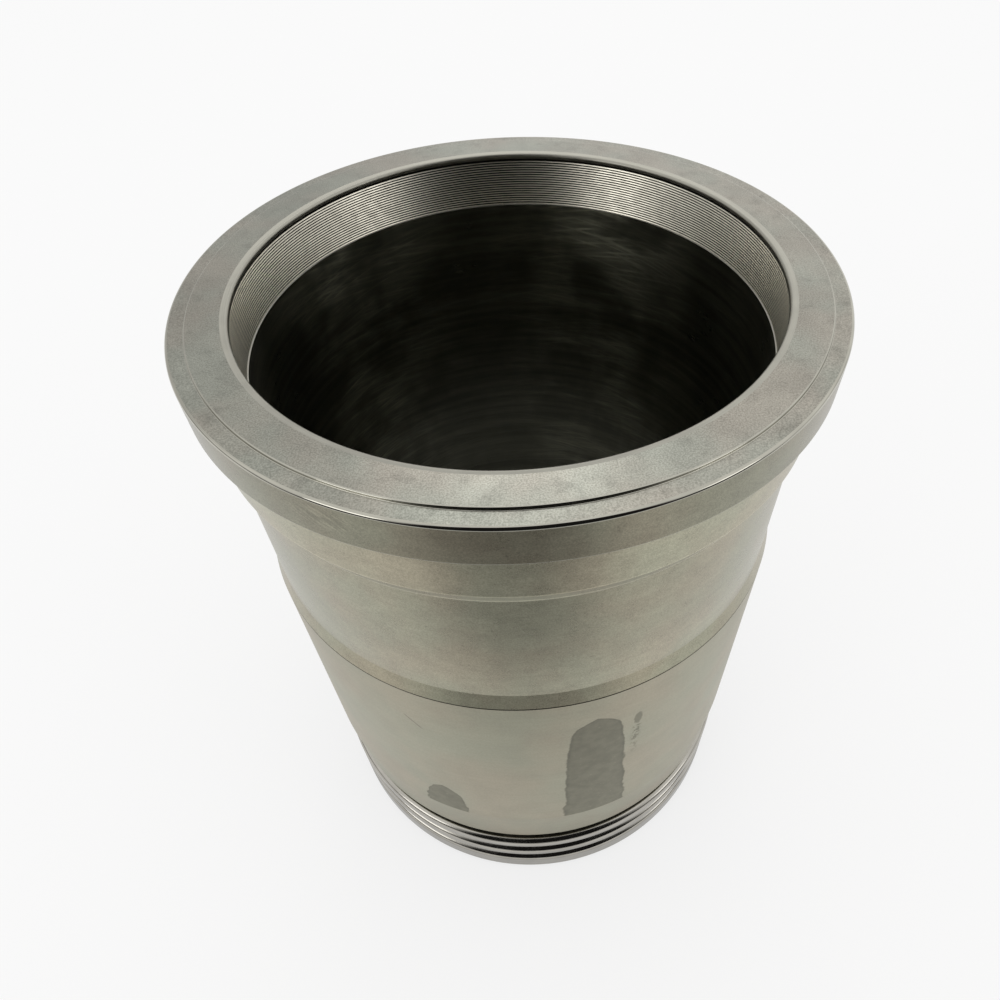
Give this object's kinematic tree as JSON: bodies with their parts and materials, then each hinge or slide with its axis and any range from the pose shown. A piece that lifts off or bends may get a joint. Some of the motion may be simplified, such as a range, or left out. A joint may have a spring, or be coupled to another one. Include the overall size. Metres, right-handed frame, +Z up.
{
  "type": "cylinder liner",
  "caption": "Wet cylinder liner for an engine: a thick iron sleeve with a stepped top flange, a pilot band, a waisted neck, seal ring grooves near its foot and a honed bore.",
  "frame": {"origin": "centre of the lower end face, on the bore's axis", "axes": "+Z up the bore, from the lower end to the flange; X and Y lie in the lower end face, and the part is round about Z, so their turn is free"},
  "size_m": [0.1574, 0.1574, 0.203],
  "materials": {
    "liner_iron": "matte blasted grey iron outside, smoother and lighter on the body, bright turned seal lands, dark honed bore"
  },
  "bodies": {
    "root": {"cylinder_liner": "liner_iron"}
  },
  "joints": []
}
